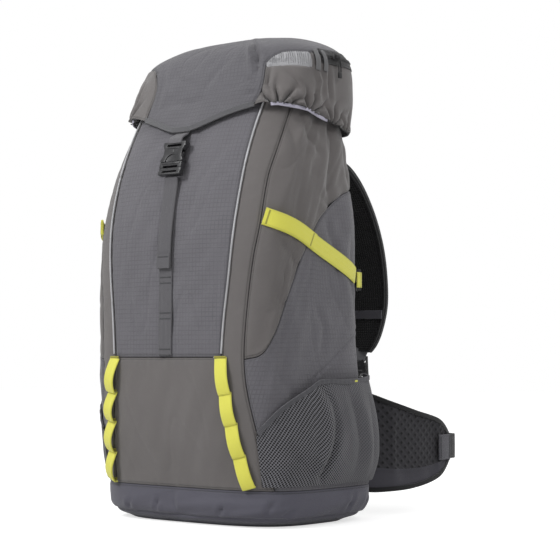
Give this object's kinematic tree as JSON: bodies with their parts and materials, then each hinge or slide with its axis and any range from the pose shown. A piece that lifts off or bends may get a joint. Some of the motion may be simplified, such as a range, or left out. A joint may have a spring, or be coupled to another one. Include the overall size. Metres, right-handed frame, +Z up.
{
  "type": "hiking backpack",
  "caption": "Top-loading hiking backpack with zipped lid, centre buckle, daisy chains, mesh side pockets, padded harness and hip belt.",
  "frame": {"origin": "on the flat underside of the base, below the middle of the load", "axes": "+Z up; -Y towards the front, where the lid buckle is; +Y towards the wearer's back; +X to the right as seen from the front"},
  "size_m": [0.4002, 0.5041, 0.689],
  "materials": {
    "ripstop": "ripstop nylon with a fine grid, matt",
    "taupe_cloth": "plain-weave coated polyester, slight sheen",
    "base_cloth": "heavy coated polyester, slight sheen",
    "silver_piping": "reflective piping",
    "lime_webbing": "woven polyester webbing",
    "grey_webbing": "woven polyester webbing",
    "black_webbing": "woven polyester webbing",
    "pocket_mesh": "knitted stretch mesh",
    "lining": "thin coated lining cloth",
    "frame_plastic": "extruded sheet",
    "stay_aluminium": "brushed bar",
    "harness_cloth": "spacer mesh over foam",
    "black_trim": "braid and elastic binding",
    "black_plastic": "moulded acetal, fine texture"
  },
  "bodies": {
    "root": {"front_panel": "ripstop", "front_lower_panel": "taupe_cloth", "side_strip_left": "taupe_cloth", "side_strip_right": "taupe_cloth", "side_upper_left": "taupe_cloth", "side_upper_right": "taupe_cloth", "side_lower_left": "ripstop", "side_lower_right": "ripstop", "base_panel": "base_cloth", "back_panel": "harness_cloth", "piping": "silver_piping", "daisy_chain_left": "lime_webbing", "daisy_chain_right": "lime_webbing", "front_anchor_strap": "grey_webbing", "mesh_pocket_left": "pocket_mesh", "mesh_pocket_right": "pocket_mesh", "pocket_hems": "black_trim", "compression_strap_left": "lime_webbing", "compression_strap_right": "lime_webbing", "compression_buckles": "black_plastic", "collar": "lining", "collar_cord": "black_trim", "frame_sheet": "frame_plastic", "stays": "stay_aluminium", "back_pads": "harness_cloth", "lumbar_pad": "harness_cloth", "haul_loop": "grey_webbing", "hydration_sleeve": "lining", "strap_yoke": "harness_cloth", "lower_webbing": "black_webbing"},
    "lid": {"lid_cover": "ripstop", "lid_side_left": "taupe_cloth", "lid_side_right": "taupe_cloth", "lid_back": "ripstop", "lid_floor": "lining", "lid_zip_tape": "black_trim", "lid_tab_strap": "grey_webbing", "buckle_socket": "black_plastic"},
    "zip_slider": {"zip_slider": "black_plastic"},
    "zip_pull": {"zip_pull": "black_trim"},
    "front_strap": {"buckle_plug": "black_plastic", "strap_tail": "grey_webbing"},
    "hip_left": {"hip_wing_left": "harness_cloth", "hip_webbing_left": "black_webbing", "hip_triglide_left": "black_plastic", "hip_buckle_socket": "black_plastic"},
    "hip_right": {"hip_wing_right": "harness_cloth", "hip_webbing_right": "black_webbing", "hip_triglide_right": "black_plastic", "hip_buckle_plug": "black_plastic"},
    "shoulder_left": {"shoulder_pad_left": "harness_cloth", "strap_adjuster_left": "black_plastic"},
    "shoulder_right": {"shoulder_pad_right": "harness_cloth", "strap_adjuster_right": "black_plastic"},
    "sternum_left": {"sternum_strap_left": "black_webbing", "sternum_buckle_socket": "black_plastic"},
    "sternum_right": {"sternum_strap_right": "black_webbing", "sternum_buckle_plug": "black_plastic"},
    "cord_lock": {"cord_lock_barrel": "black_plastic"},
    "cord_button": {"cord_lock_button": "black_plastic"}
  },
  "joints": [
    {"name": "lid_hinge", "type": "hinge", "parent": "root", "child": "lid", "pos_m": [0, 0.121, 0.549], "axis": [-1, 0, 0], "range_deg": [0, 110]},
    {"name": "buckle_release", "type": "slide", "parent": "root", "child": "front_strap", "axis": [0, -0.3007, -0.9537], "range_m": [0, 0.035]},
    {"name": "zip_travel", "type": "slide", "parent": "lid", "child": "zip_slider", "axis": [0, 1, 0], "range_m": [0, 0.035]},
    {"name": "pull_swing", "type": "hinge", "parent": "zip_slider", "child": "zip_pull", "pos_m": [0.1694, 0.037, 0.649], "axis": [0, -1, 0], "range_deg": [0, 80]},
    {"name": "hip_left_swing", "type": "hinge", "parent": "root", "child": "hip_left", "pos_m": [-0.095, 0.148, 0.1], "axis": [0, 0, 1], "range_deg": [-15, 30]},
    {"name": "hip_right_swing", "type": "hinge", "parent": "root", "child": "hip_right", "pos_m": [0.095, 0.148, 0.1], "axis": [0, 0, -1], "range_deg": [-15, 30]},
    {"name": "shoulder_left_swing", "type": "hinge", "parent": "root", "child": "shoulder_left", "pos_m": [-0.069, 0.113, 0.514], "axis": [1, 0, 0], "range_deg": [0, 25]},
    {"name": "shoulder_right_swing", "type": "hinge", "parent": "root", "child": "shoulder_right", "pos_m": [0.069, 0.113, 0.514], "axis": [1, 0, 0], "range_deg": [0, 25]},
    {"name": "sternum_left_slide", "type": "slide", "parent": "shoulder_left", "child": "sternum_left", "axis": [0, 0, 1], "range_m": [-0.02, 0.02]},
    {"name": "sternum_right_slide", "type": "slide", "parent": "shoulder_right", "child": "sternum_right", "axis": [0, 0, 1], "range_m": [-0.02, 0.02]},
    {"name": "cord_lock_slide", "type": "slide", "parent": "root", "child": "cord_lock", "axis": [0, 0, 1], "range_m": [-0.02, 0]},
    {"name": "cord_button_press", "type": "slide", "parent": "cord_lock", "child": "cord_button", "axis": [-1, 0, 0], "range_m": [0, 0.004], "stiffness_N_per_m": 200}
  ]
}
